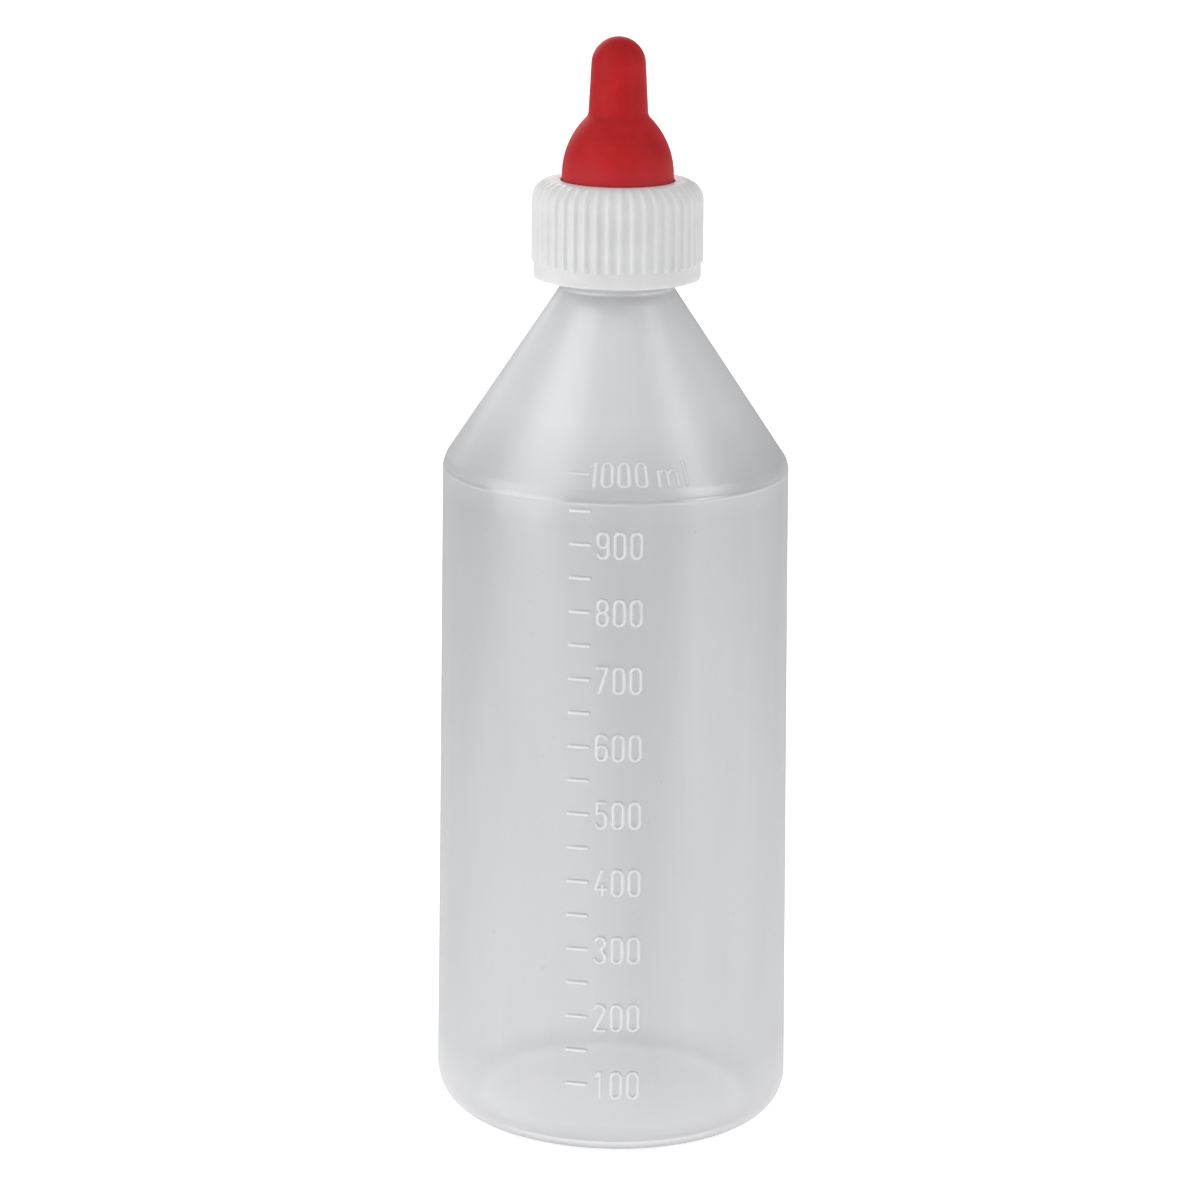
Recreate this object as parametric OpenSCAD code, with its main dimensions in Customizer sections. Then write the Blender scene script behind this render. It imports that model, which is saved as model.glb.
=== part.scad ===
// Calf feeding bottle: a translucent bottle with a raised volume scale, a ribbed screw ring and
// a rubber teat. The ring screws onto the neck and clamps the teat's flange against the rim.
// Millimetres, +Z up. The origin is on the bottle's axis, on the surface it stands on.
// The volume scale is on the front, which faces -Y.

/* [Bottle body] */
// Outside radius of the round body
body_r = 45; // [43:0.5:48]
// Wall thickness of the body, shoulder and base
wall_t = 1.5; // [1.2:0.1:2]
// Height at which the body's side and the cone would meet if the shoulder weren't rounded
shoulder_z = 166; // [150:1:170]
// Radius of the rounding at the shoulder
shoulder_round = 6; // [4:1:14]
// Radius of the rounding at the base
base_round = 9; // [7:1:12]
// Radius of the hollow under the base, inside the ring the bottle stands on
push_up_r = 30; // [24:1:32]
// Height of the hollow under the base at its centre
push_up_h = 4; // [2:0.5:6]

/* [Neck] */
// Height of the throat, where the cone ends under the screw ring
throat_z = 211.2; // [208:0.2:212]
// Outside radius of the throat
throat_r = 14.8; // [14:0.1:15.5]
// Outside radius of the neck under its thread
neck_r = 17.2; // [17:0.1:17.4]
// Radius of the mouth
mouth_r = 15; // [14:0.1:15.4]
// Height of the rim that the teat's flange sits on
rim_z = 234; // [233:0.5:235]

/* [Thread] */
// Rise of the thread in one turn
pitch = 4; // [3.6:0.1:4.5]
// Turns of the neck's ridge
neck_turns = 2.75; // [2:0.25:3]
// Turns of the ring's ridge
ring_turns = 2.5; // [2:0.25:2.75]
// Height of both ridges above the wall they stand on
ridge_h = 1.5; // [1.2:0.1:1.6]

/* [Volume scale] */
// Angle of the scale's line of marks from the front, seen from above
scale_turn = -13.2; // [-25:0.1:0]
// Height of the 100 ml mark
first_mark_z = 18.6; // [16:0.1:22]
// Height between marks 100 ml apart
mark_rise = 16.9; // [16:0.1:17]
// Length of a mark along the surface
mark_l = 5.5; // [4:0.1:6]
// Width of the raised lines
line_w = 0.7; // [0.5:0.05:0.8]
// Height of the raised lines above the surface
relief = 0.3; // [0.2:0.05:0.5]
// Arc distance from the marks to the first figure beside them
figure_s = 5.9; // [5.5:0.1:7]
// Arc distance from the marks to the mark of the full litre, which is on the cone
litre_mark_s = -1; // [-2:0.1:0]
// Arc distance from the marks to the first figure of the full litre
litre_s = 2.9; // [2.8:0.1:5]
// Height of a figure
figure_h = 7; // [6:0.1:8]
// Width of a figure
figure_w = 3.2; // [2.8:0.1:3.4]
// Distance between figures
figure_step = 4.2; // [4.1:0.1:4.4]

/* [Screw ring] */
// Radius over the ring's ribs
rib_r = 22.5; // [22.3:0.1:23]
// Depth of the grooves between the ribs
rib_depth = 0.75; // [0.5:0.05:0.9]
// Width of a rib at its foot
rib_w = 1.3; // [1:0.1:1.6]
// Number of ribs
rib_count = 44; // [36:1:48]
// Radius of the plain band at the ring's lower edge
band_r = 21.9; // [21.8:0.1:22]
// Height of the plain band
band_h = 4; // [3:0.5:5]
// Height of the ring's lower edge above the surface the bottle stands on
ring_bottom_z = 213.6; // [213.5:0.1:214]
// Thickness of the ring's top over the teat's flange
ring_top_t = 2.4; // [2:0.1:2.8]
// Radius of the hole the teat stands through
hole_r = 14.9; // [14.8:0.1:15.1]
// Radius of the rounding at the ring's upper edge
ring_round = 5.1; // [4:0.1:5.5]

/* [Teat] */
// Radius of the teat's flange
flange_r = 18.5; // [17.5:0.1:18.7]
// Thickness of the teat's flange
flange_t = 2.5; // [2:0.1:3]
// Radius of the teat's bulb where it leaves the ring
bulb_r = 14.65; // [14:0.05:14.7]
// Radius of the arc that the bulb's side follows
bulb_arc_r = 21.5; // [20:0.5:24]
// Radius of the teat's stem at the bulb
stem_r = 7.9; // [7.5:0.1:8.5]
// Radius of the stem's round tip
tip_r = 7.15; // [6.5:0.05:7.4]
// Length of the stem, from the bulb to the tip
stem_l = 20.7; // [18:0.1:26]
// Thickness of the rubber
teat_t = 2; // [1.6:0.1:2.4]
// Radius of the milk opening in the tip
milk_hole_r = 1; // [0.8:0.1:1.5]

/* [Hidden] */
round_fn = 96;
// clearance between the rim, the flange and the ring's top
gap = 0.05;
// clearance between a ridge's crest and the opposite wall
ridge_gap = 0.3;
// how far a raised shape reaches into the solid it stands on
root = 0.4;
cone_angle = atan((body_r - throat_r) / (throat_z - shoulder_z));
shoulder_cz = shoulder_z - shoulder_round * tan(cone_angle / 2);
throat_in_r = throat_r - wall_t / cos(cone_angle);
// height of the flare from the throat to the neck, and how much higher it ends inside
neck_flare = 2.4;
inner_flare_more = 1;
rim_chamfer = 0.5;
bore_r = neck_r + ridge_h + ridge_gap;
ridge_root_w = 2.1;
ridge_crest_w = 0.95;
// sections of a ridge in one turn, and over how many of them its ends sink
ridge_seg = 30;
ridge_end = 6;
neck_ridge_z = 218.2;
flange_z = rim_z + gap;
ring_under_z = flange_z + flange_t + gap;
ring_top_z = ring_under_z + ring_top_t;
rib_z = ring_bottom_z + band_h;
groove_r = rib_r - rib_depth;
// how far the ribs' rounded envelope stands clear of their crests
rib_clear = 0.1;
// places of the unit's two letters after the full litre, in figure steps
unit_m_step = 4.4;
unit_l_step = 5.45;
bulb_foot_h = 1;
bulb_z = ring_top_z + bulb_foot_h;
bulb_cr = bulb_r - bulb_arc_r;
stem_z = bulb_z + sqrt(pow(bulb_arc_r, 2) - pow(stem_r - bulb_cr, 2));
tip_cz = stem_z + stem_l - tip_r;
bulb_top_a = asin((stem_z - bulb_z) / bulb_arc_r);
// the stem's wall is this much thicker than the bulb's
stem_more_t = 0.3;
stem_in_r = stem_r - teat_t - stem_more_t;
bulb_in_r = bulb_arc_r - teat_t;
bulb_in_a = acos((stem_in_r - bulb_cr) / bulb_in_r);

// Points of an arc about [cx, cz], from angle a0 to a1 in n steps
function arc(cx, cz, r, a0, a1, n) =
    [for (i = [0:n]) [cx + r * cos(a0 + (a1 - a0) * i / n), cz + r * sin(a0 + (a1 - a0) * i / n)]];

// Points of the shallow dome under the base, from its centre outwards, raised by lift
function dome(lift, n) =
    [for (i = [0:n]) [push_up_r * i / n, lift + push_up_h * (1 + cos(180 * i / n)) / 2]];

function reversed(list) = [for (i = [len(list) - 1:-1:0]) list[i]];

// Corners of a helical ridge's section, seg sections a turn. The inner edge is at r_in and is
// w_in wide, the outer edge is at r_out and is w_out wide. The free edge sinks to sunk_r at
// both ends, and free_out says whether the outer edge is the free one.
function ridge_points(r_in, w_in, r_out, w_out, sunk_r, free_out, z0, turns) =
    let (n = round(turns * ridge_seg))
    [for (i = [0:n])
        let (a = 360 * i / ridge_seg,
             z = z0 + pitch * i / ridge_seg,
             rise = min(1, i / ridge_end, (n - i) / ridge_end),
             ra = free_out ? r_in : sunk_r + (r_in - sunk_r) * rise,
             rb = free_out ? sunk_r + (r_out - sunk_r) * rise : r_out)
        each [[ra * cos(a), ra * sin(a), z - w_in / 2],
              [rb * cos(a), rb * sin(a), z - w_out / 2],
              [rb * cos(a), rb * sin(a), z + w_out / 2],
              [ra * cos(a), ra * sin(a), z + w_in / 2]]];

// Triangles of a helical ridge with n sections after the first
function ridge_faces(n) = concat(
    [[2, 1, 0], [3, 2, 0], [4 * n, 4 * n + 1, 4 * n + 2], [4 * n, 4 * n + 2, 4 * n + 3]],
    [for (i = [0:n - 1], j = [0:3])
        let (k = (j + 1) % 4, a = 4 * i, b = 4 * i + 4)
        each [[a + j, a + k, b + k], [a + j, b + k, b + j]]]);

module ridge(r_in, w_in, r_out, w_out, sunk_r, free_out, z0, turns) {
    polyhedron(points = ridge_points(r_in, w_in, r_out, w_out, sunk_r, free_out, z0, turns),
               faces = ridge_faces(round(turns * ridge_seg)), convexity = 6);
}

// A figure is drawn as lines between places on a grid of 3 columns and 5 rows, lettered from the
// bottom left corner, row by row, to the top right corner. A full stop lifts the pen.
function figure_path(d) = ["djnlfbd", "jnb", "jnlac", "jnlhfbd", "ndf.hb", "omghfbd", "lnjdbfhg",
    "moa", "hjnlhdbfh", "dbflnjhi"][d];
function place(c, w, h) = let (k = ord(c) - ord("a")) [(k % 3 - 1) * w / 2, (floor(k / 3) - 2) * h / 4];

module line_2d(p, q) {
    l = norm(q - p);
    translate((p + q) / 2)
        rotate(atan2(q[1] - p[1], q[0] - p[0]))
            square([l + line_w, line_w], center = true);
}

module path_2d(path, w, h) {
    for (i = [0:len(path) - 2])
        if (path[i] != "." && path[i + 1] != ".")
            line_2d(place(path[i], w, h), place(path[i + 1], w, h));
}

// Puts flat outlines on the bottle's front at height z and arc distance s from the marks.
// On the cone, above the shoulder, they lean back with the surface.
module on_bottle(s, z) {
    on_cone = z > shoulder_z;
    r = on_cone ? body_r - (z - shoulder_z) * tan(cone_angle) : body_r;
    rotate([0, 0, scale_turn + s / r * 180 / PI])
        translate([0, -r, z])
            rotate([90 - (on_cone ? cone_angle : 0), 0, 0])
                translate([0, 0, -root])
                    linear_extrude(root + relief)
                        children();
}

// One figure, d, at arc distance s from the marks
module figure(d, s, z) {
    on_bottle(s, z)
        path_2d(figure_path(d), figure_w - line_w, figure_h - line_w);
}

module volume_scale() {
    litre_z = first_mark_z + mark_rise * 9;
    // marks every 50 ml
    for (i = [0:17])
        on_bottle(0, first_mark_z + mark_rise * i / 2)
            square([mark_l, line_w], center = true);
    // figures every 100 ml
    for (i = [1:9], j = [0:2])
        figure(j == 0 ? i : 0, figure_s + figure_step * j, first_mark_z + mark_rise * (i - 1));
    // the full litre, with its unit
    on_bottle(litre_mark_s, litre_z)
        square([mark_l, line_w], center = true);
    figure(1, litre_s, litre_z);
    for (j = [0:2])
        figure(0, litre_s + figure_step * (j + 0.8), litre_z);
    on_bottle(litre_s + figure_step * unit_m_step, litre_z)
        translate([0, -figure_h / 8])
            path_2d("amoc.nb", figure_w + line_w, figure_h * 3 / 4 - line_w);
    on_bottle(litre_s + figure_step * unit_l_step, litre_z)
        square([line_w, figure_h], center = true);
}

module bottle_shell() {
    rotate_extrude($fn = round_fn)
        polygon(concat(
            dome(0, 6),
            arc(body_r - base_round, base_round, base_round, -90, 0, 7),
            arc(body_r - shoulder_round, shoulder_cz, shoulder_round, 0, cone_angle, 4),
            [[throat_r, throat_z],
             [neck_r, throat_z + neck_flare],
             [neck_r, rim_z - rim_chamfer],
             [neck_r - rim_chamfer, rim_z],
             [mouth_r, rim_z],
             [mouth_r, throat_z + neck_flare + inner_flare_more],
             [throat_in_r, throat_z]],
            arc(body_r - shoulder_round, shoulder_cz, shoulder_round - wall_t, cone_angle, 0, 4),
            arc(body_r - base_round, base_round, base_round - wall_t, 0, -90, 6),
            reversed(dome(wall_t, 5))));
}

module bottle() {
    color([0.84, 0.87, 0.89, 0.6])
        union() {
            bottle_shell();
            ridge(neck_r - root, ridge_root_w, neck_r + ridge_h, ridge_crest_w,
                  neck_r - root / 2, true, neck_ridge_z, neck_turns);
            volume_scale();
        }
}

// Plan of the ribs: narrow round bars that reach into the ring's wall
module ribs_2d() {
    for (i = [0:rib_count - 1])
        rotate(360 / rib_count * i)
            polygon([[groove_r - 3 * rib_depth, -rib_w / 2], [groove_r, -rib_w / 2],
                     [groove_r + rib_depth * 0.6, -rib_w * 0.36], [rib_r, -rib_w * 0.14],
                     [rib_r, rib_w * 0.14], [groove_r + rib_depth * 0.6, rib_w * 0.36],
                     [groove_r, rib_w / 2], [groove_r - 3 * rib_depth, rib_w / 2]]);
}

// The ring's outside without its ribs, and the ribs, which fade out over the rounded edge
module ring_outside() {
    rotate_extrude($fn = round_fn)
        polygon(concat(
            [[0, ring_bottom_z], [band_r, ring_bottom_z], [band_r, rib_z], [groove_r, rib_z]],
            arc(groove_r - ring_round, ring_top_z - ring_round, ring_round, 0, 90, 8),
            [[0, ring_top_z]]));
    intersection() {
        translate([0, 0, rib_z])
            linear_extrude(ring_top_z - rib_z)
                ribs_2d();
        rotate_extrude($fn = round_fn)
            polygon(concat(
                [[0, rib_z - 1], [groove_r, rib_z - 1], [groove_r, rib_z],
                 [rib_r + rib_clear, rib_z + rib_depth]],
                arc(rib_r + rib_clear - ring_round, ring_top_z - ring_round, ring_round, 0, 90, 8),
                [[0, ring_top_z]]));
    }
}

module screw_ring() {
    color([0.93, 0.93, 0.92])
        union() {
            difference() {
                ring_outside();
                translate([0, 0, ring_bottom_z - 1])
                    cylinder(h = ring_under_z - ring_bottom_z + 1, r = bore_r, $fn = round_fn);
                translate([0, 0, ring_under_z - 1])
                    cylinder(h = ring_top_t + 2, r = hole_r, $fn = round_fn);
            }
            ridge(bore_r - ridge_h, ridge_crest_w, bore_r + root, ridge_root_w,
                  bore_r + root / 2, false, neck_ridge_z + pitch / 2, ring_turns);
        }
}

module teat() {
    color([0.72, 0.13, 0.15])
        rotate_extrude($fn = 72)
            polygon(concat(
                [[bulb_r - teat_t, flange_z], [flange_r, flange_z], [flange_r, flange_z + flange_t],
                 [bulb_r, flange_z + flange_t]],
                arc(bulb_cr, bulb_z, bulb_arc_r, 0, bulb_top_a, 8),
                arc(0, tip_cz, tip_r, 0, acos(milk_hole_r / tip_r), 9),
                reversed(arc(0, tip_cz, tip_r - teat_t, 0, acos(milk_hole_r / (tip_r - teat_t)), 6)),
                reversed(arc(bulb_cr, bulb_z, bulb_in_r, 0, bulb_in_a, 7))));
}

bottle();
screw_ring();
teat();
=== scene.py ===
import math

import bpy
import numpy as np
from mathutils import Matrix, Vector


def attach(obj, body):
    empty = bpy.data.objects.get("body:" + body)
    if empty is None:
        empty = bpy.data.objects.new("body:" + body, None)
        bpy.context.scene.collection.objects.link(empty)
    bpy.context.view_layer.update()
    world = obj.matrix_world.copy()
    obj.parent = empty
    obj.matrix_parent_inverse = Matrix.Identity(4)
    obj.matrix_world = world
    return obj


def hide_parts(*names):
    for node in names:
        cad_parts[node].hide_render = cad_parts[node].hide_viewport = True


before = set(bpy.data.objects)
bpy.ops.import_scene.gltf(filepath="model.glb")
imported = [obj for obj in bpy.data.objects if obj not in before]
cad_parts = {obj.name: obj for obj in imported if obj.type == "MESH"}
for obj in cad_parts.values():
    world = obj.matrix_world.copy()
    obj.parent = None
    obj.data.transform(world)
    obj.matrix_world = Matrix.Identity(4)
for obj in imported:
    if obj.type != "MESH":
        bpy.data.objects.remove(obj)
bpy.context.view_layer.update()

MM = 0.001
PI = math.pi

# ---------------------------------------------------------------- sizes, in millimetres, as in the CAD
BODY_R, WALL, SHOULDER_Z, SHOULDER_ROUND, BASE_ROUND = 45.0, 1.5, 166.0, 6.0, 9.0
PUSH_R, PUSH_H = 30.0, 4.0
THROAT_Z, THROAT_R, NECK_R, MOUTH_R, RIM_Z = 211.2, 14.8, 17.2, 15.0, 234.0
PITCH, NECK_TURNS, RING_TURNS, RIDGE_H, RIDGE_GAP = 4.0, 2.75, 2.5, 1.5, 0.3
RIDGE_ROOT_W, RIDGE_CREST_W, NECK_RIDGE_Z = 2.1, 0.95, 218.2
SCALE_TURN, FIRST_MARK_Z, MARK_RISE = math.radians(-13.2), 18.6, 16.9
MARK_L, LINE_W, FIG_H, FIG_W, FIG_STEP, MARK_COUNT = 5.5, 0.7, 7.0, 3.2, 4.2, 19
FIG_S, LITRE_MARK_S, LITRE_S = 5.9, -1.0, 2.9
GAP = 0.05
RIB_R, RIB_DEPTH, RIB_COUNT, BAND_R, BAND_H = 22.5, 0.75, 44, 21.9, 4.0
RING_Z, RING_TOP_T, HOLE_R, RING_ROUND = 213.6, 2.4, 14.9, 5.1
FLANGE_R, FLANGE_T, TEAT_T = 18.5, 2.5, 2.0
BULB_R, BULB_ARC, STEM_R, TIP_R, STEM_L, MILK_R = 14.65, 21.5, 7.9, 7.15, 20.7, 1.0
CONE = math.atan((BODY_R - THROAT_R) / (THROAT_Z - SHOULDER_Z))
SHOULDER_LOW_Z = SHOULDER_Z - SHOULDER_ROUND * math.tan(CONE / 2)
BORE_R = NECK_R + RIDGE_H + RIDGE_GAP
FLANGE_Z = RIM_Z + GAP
RING_UNDER = FLANGE_Z + FLANGE_T + GAP
RING_TOP = RING_UNDER + RING_TOP_T
# sizes of the visual model alone: the raised lines, the flare from the throat to the neck, the mould's
# parting lines, the unevenness of the wall, and the close mesh under the scale
RELIEF, MARK_HALF_W, FIG_HALF_W, FLARE_H = 0.36, 0.36, 0.27, 2.6
SHOULDER_BEAD_Z, SEAM_H, SEAM_W, BEAD_W, UNEVEN = 164.2, 0.09, 0.34, 0.55, 0.12
PATCH_SIDE, PATCH_CELLS, CELL_COLUMNS, COLUMN_GAP, ROW_GAP = 4.8, 17, 9, 0.225, 0.215


# ---------------------------------------------------------------- mesh helpers
def arc(cx, cz, r, a0, a1, n):
    """Points of an arc round (cx, cz), from the angle a0 to a1 in n steps."""
    a = np.radians(np.linspace(a0, a1, n + 1))
    return [(cx + r * math.cos(t), cz + r * math.sin(t)) for t in a]


class Profile:
    """A polyline in (r, z) that is read by arc length."""

    def __init__(self, points):
        self.p = np.array(points, float)
        step = np.hypot(*np.diff(self.p, axis=0).T)
        keep = np.r_[True, step > 1e-6]
        self.p = self.p[keep]
        self.s = np.r_[0, np.cumsum(np.hypot(*np.diff(self.p, axis=0).T))]

    def at(self, s):
        return np.interp(s, self.s, self.p[:, 0]), np.interp(s, self.s, self.p[:, 1])

    def normal(self, s, e=0.15):
        """The outward direction, taken over a short stretch on both sides."""
        r0, z0 = self.at(np.maximum(s - e, 0))
        r1, z1 = self.at(np.minimum(s + e, self.s[-1]))
        dr, dz = r1 - r0, z1 - z0
        length = np.hypot(dr, dz) + 1e-12
        return dz / length, -dr / length

    def s_of_z(self, z, lo, hi):
        s = np.linspace(lo, hi, 20001)
        return float(s[np.argmin(np.abs(self.at(s)[1] - z))])


def smooth(x):
    """Rises from 0 to 1 and is level at both ends."""
    x = np.clip(x, 0, 1)
    return x * x * (3 - 2 * x)


class Builder:
    """Collects a mesh's points and faces."""

    def __init__(self):
        self.v, self.f = [], []
        self.n = 0

    def add(self, xyz):
        """Adds points of shape (..., 3) and returns their numbers in the same shape."""
        xyz = np.asarray(xyz, float)
        ids = np.arange(self.n, self.n + xyz[..., 0].size).reshape(xyz.shape[:-1])
        self.v.append(xyz.reshape(-1, 3))
        self.n += ids.size
        return ids

    def face(self, *corners):
        self.f.append(tuple(map(int, corners)))

    def ring_quads(self, a, b):
        """Faces between two closed rows of the same length; a is the lower row on an outer wall."""
        a2, b2 = np.roll(a, -1), np.roll(b, -1)
        self.f += [tuple(map(int, q)) for q in zip(a, a2, b2, b)]

    def strip_quads(self, a, b):
        self.f += [tuple(map(int, q)) for q in zip(a[:-1], a[1:], b[1:], b[:-1])]

    def zip_rows(self, a, ta, b, tb):
        """Triangles between two open rows with different spacing, a below b on an outer wall."""
        i = j = 0
        while i < len(a) - 1 or j < len(b) - 1:
            go_a = j == len(b) - 1 or (i < len(a) - 1 and ta[i + 1] <= tb[j + 1] + 1e-9)
            if go_a:
                self.face(a[i], a[i + 1], b[j])
                i += 1
            else:
                self.face(a[i], b[j + 1], b[j])
                j += 1

    def cap(self, row, centre, up):
        """Closes a row with triangles that meet in the centre."""
        c = self.add(np.array(centre, float))
        for p, q in zip(row, np.roll(row, -1)):
            self.face(*((p, q, c) if up else (q, p, c)))

    def obj(self, name, slot, body, *nodes):
        """Makes the mesh object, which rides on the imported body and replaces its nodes."""
        me = bpy.data.meshes.new(name)
        me.from_pydata((np.concatenate(self.v) * MM).tolist(), [], self.f)
        me.validate(clean_customdata=True)
        me.polygons.foreach_set("use_smooth", np.ones(len(me.polygons), bool))
        me.update()
        ob = bpy.data.objects.new(name, me)
        bpy.context.scene.collection.objects.link(ob)
        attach(ob, body)
        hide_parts(*nodes)
        return ob


def turn_point(r, phi, z):
    """phi is measured from the front, -Y, and turns towards +X."""
    r, phi, z = np.broadcast_arrays(r, phi, z)
    return np.stack([r * np.sin(phi), -r * np.cos(phi), z], -1)


def helix_ridge(phi, z, z0, turns):
    """Height share of a helical ridge at angle phi and height z, 0 on the wall and 1 on the crest."""
    turn = ((phi - PI / 2) / (2 * PI)) % 1.0
    out = np.zeros(np.broadcast(phi, z).shape)
    for k in range(int(turns) + 2):
        t = turn + k
        d = np.abs(z - (z0 + PITCH * t))
        rise = (RIDGE_ROOT_W / 2 - d) / (RIDGE_ROOT_W / 2 - RIDGE_CREST_W / 2)
        ends = np.clip(np.minimum(t, turns - t) * 5, 0, 1)
        out = np.maximum(out, smooth(np.clip(rise, 0, 1)) * smooth(ends) * ((t >= 0) & (t <= turns)))
    return out


# ---------------------------------------------------------------- the raised figures
def figure_lines():
    """Each figure as lists of points, in millimetres from its centre."""
    r, top = (FIG_W - LINE_W) / 2, (FIG_H - LINE_W) / 2
    c = top - r
    loop = arc(0, c, r, 180, 0, 10) + arc(0, -c, r, 0, -180, 10) + [(-r, c)]
    six = arc(0, c, r, 15, 180, 10) + arc(0, -c, r, 180, 360, 10) + arc(0, -0.75, r, 0, 180, 10)
    low = arc(0, -c, r, 0, -160, 10)
    upper = r * 0.93
    eight = [
        arc(0, c + r - upper, upper, 0, 180, 9)
        + arc(0, 0.2 + upper, upper, 180, 360, 9)
        + [(upper, c + r - upper)],
        arc(0, 0.2 - r, r, 0, 180, 9) + arc(0, -c, r, 180, 360, 9) + [(r, 0.2 - r)],
    ]
    return {
        "0": [loop],
        "1": [[(-0.85, top - 0.95), (0.2, top), (0.2, -top)]],
        "2": [arc(0, c, r, 165, -25, 10) + [(-r, -top), (r, -top)]],
        "3": [
            arc(0, c, r, 160, -30, 9) + [(0.25, 0.15)],
            [(0.25, 0.15)] + arc(0, 0.25 - c, r, 42, 0, 4) + low,
        ],
        "4": [[(0.3, top), (-r, -top + 1.6), (r, -top + 1.6)], [(0.5, -0.5), (0.5, -top)]],
        "5": [
            [(r * 0.9, top), (-r * 0.75, top), (-r * 0.85, 0.35)] + arc(0, -0.5, r, 115, 0, 7) + low
        ],
        "6": [six],
        "7": [[(-r, top), (r, top), (-r * 0.5, -top)]],
        "8": eight,
        "9": [[(-x, -y) for x, y in six]],
        "m": [
            [(-2.4, 0.9), (-2.4, -top)],
            [(-2.4, 0.1)] + arc(-1.2, -0.15, 1.2, 160, 0, 7) + [(0.0, -top)],
            [(0.0, 0.1)] + arc(1.2, -0.15, 1.2, 160, 0, 7) + [(2.4, -top)],
        ],
        "l": [[(-0.2, top), (-0.2, -top)]],
    }


def scale_lines():
    """Every raised line of the scale: (arc distance from the marks, mark number, points, half width)."""
    figs, out = figure_lines(), []
    half = (MARK_L - LINE_W) / 2
    for i in range(MARK_COUNT):
        at = LITRE_MARK_S if i == MARK_COUNT - 1 else 0.0
        out.append((at, i / 2, [(-half, 0.0), (half, 0.0)], MARK_HALF_W))
    for n in range(1, 10):
        for j, ch in enumerate(str(n * 100)):
            out += [(FIG_S + FIG_STEP * j, n - 1.0, line, FIG_HALF_W) for line in figs[ch]]
    # the narrow 1 stands closer to its neighbour, and the m takes more room
    for ch, steps in zip("1000ml", (0, 0.8, 1.8, 2.85, 4.45, 5.6)):
        out += [(LITRE_S + FIG_STEP * steps, 9.0, line, FIG_HALF_W) for line in figs[ch]]
    return out


def distance_to_line(u, v, line):
    best = np.full(u.shape, 1e9)
    for (x0, y0), (x1, y1) in zip(line[:-1], line[1:]):
        dx, dy = x1 - x0, y1 - y0
        t = np.clip(((u - x0) * dx + (v - y0) * dy) / (dx * dx + dy * dy + 1e-12), 0, 1)
        best = np.minimum(best, np.hypot(u - x0 - t * dx, v - y0 - t * dy))
    return best


def shoulder():
    """The outer rounding from the wall to the cone, which turns faster at its two ends."""
    n = 60
    turn = np.array([1 + 2.2 * math.cos(2 * PI * (i + 0.5) / n) ** 2 for i in range(n)])
    turn[n // 4 : 3 * n // 4] = 1.0
    angle = np.r_[0, np.cumsum(turn)] * CONE / turn.sum()
    mid = (angle[:-1] + angle[1:]) / 2
    x = np.r_[0, -np.cumsum(np.sin(mid))]
    z = np.r_[0, np.cumsum(np.cos(mid))]
    # sized so that it ends where a plain rounding would, on the cone
    span = SHOULDER_ROUND * math.sin(CONE) / z[-1]
    x, z = BODY_R + x * span, SHOULDER_LOW_Z + z * span
    end = BODY_R - (z[-1] - SHOULDER_Z) * math.tan(CONE)
    x += (end - x[-1]) * smooth(np.linspace(0, 1, n + 1))
    return list(zip(x, z))


# ---------------------------------------------------------------- bottle
def base_dome():
    """The hollow of the base, from its centre to the ring that it stands on."""
    return [(PUSH_R * i / 40, PUSH_H * (1 + math.cos(PI * i / 40)) / 2) for i in range(41)]


def outer_outline():
    """The outside, from the centre of the base to the rim."""
    return Profile(
        base_dome()
        + arc(BODY_R - BASE_ROUND, BASE_ROUND, BASE_ROUND, -90, 0, 60)
        + shoulder()
        + [
            (THROAT_R + 0.25, THROAT_Z - 0.4),
            (THROAT_R, THROAT_Z),
            (THROAT_R + 0.15, THROAT_Z + 0.35),
            (NECK_R - 0.25, THROAT_Z + 2.1),
            (NECK_R, THROAT_Z + FLARE_H),
            (NECK_R, RIM_Z - 0.6),
            (NECK_R - 0.15, RIM_Z - 0.2),
            (NECK_R - 0.5, RIM_Z),
        ]
    )


def inner_outline():
    """The inside, from the mouth to the centre of the base."""
    throat = THROAT_R - WALL / math.cos(CONE)
    return Profile(
        [
            (MOUTH_R + 0.35, RIM_Z),
            (MOUTH_R + 0.1, RIM_Z - 0.12),
            (MOUTH_R, RIM_Z - 0.45),
            (MOUTH_R, THROAT_Z + 4.2),
            (MOUTH_R - 0.4, THROAT_Z + 3.0),
            (throat + 0.2, THROAT_Z + 0.5),
            (throat + 0.1, THROAT_Z - 0.4),
        ]
        + arc(BODY_R - SHOULDER_ROUND, SHOULDER_LOW_Z, SHOULDER_ROUND - WALL, math.degrees(CONE), 0, 24)
        + arc(BODY_R - BASE_ROUND, BASE_ROUND, BASE_ROUND - WALL, 0, -90, 30)
        + [(r, z + WALL) for r, z in reversed(base_dome()[:-1])]
    )


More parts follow.
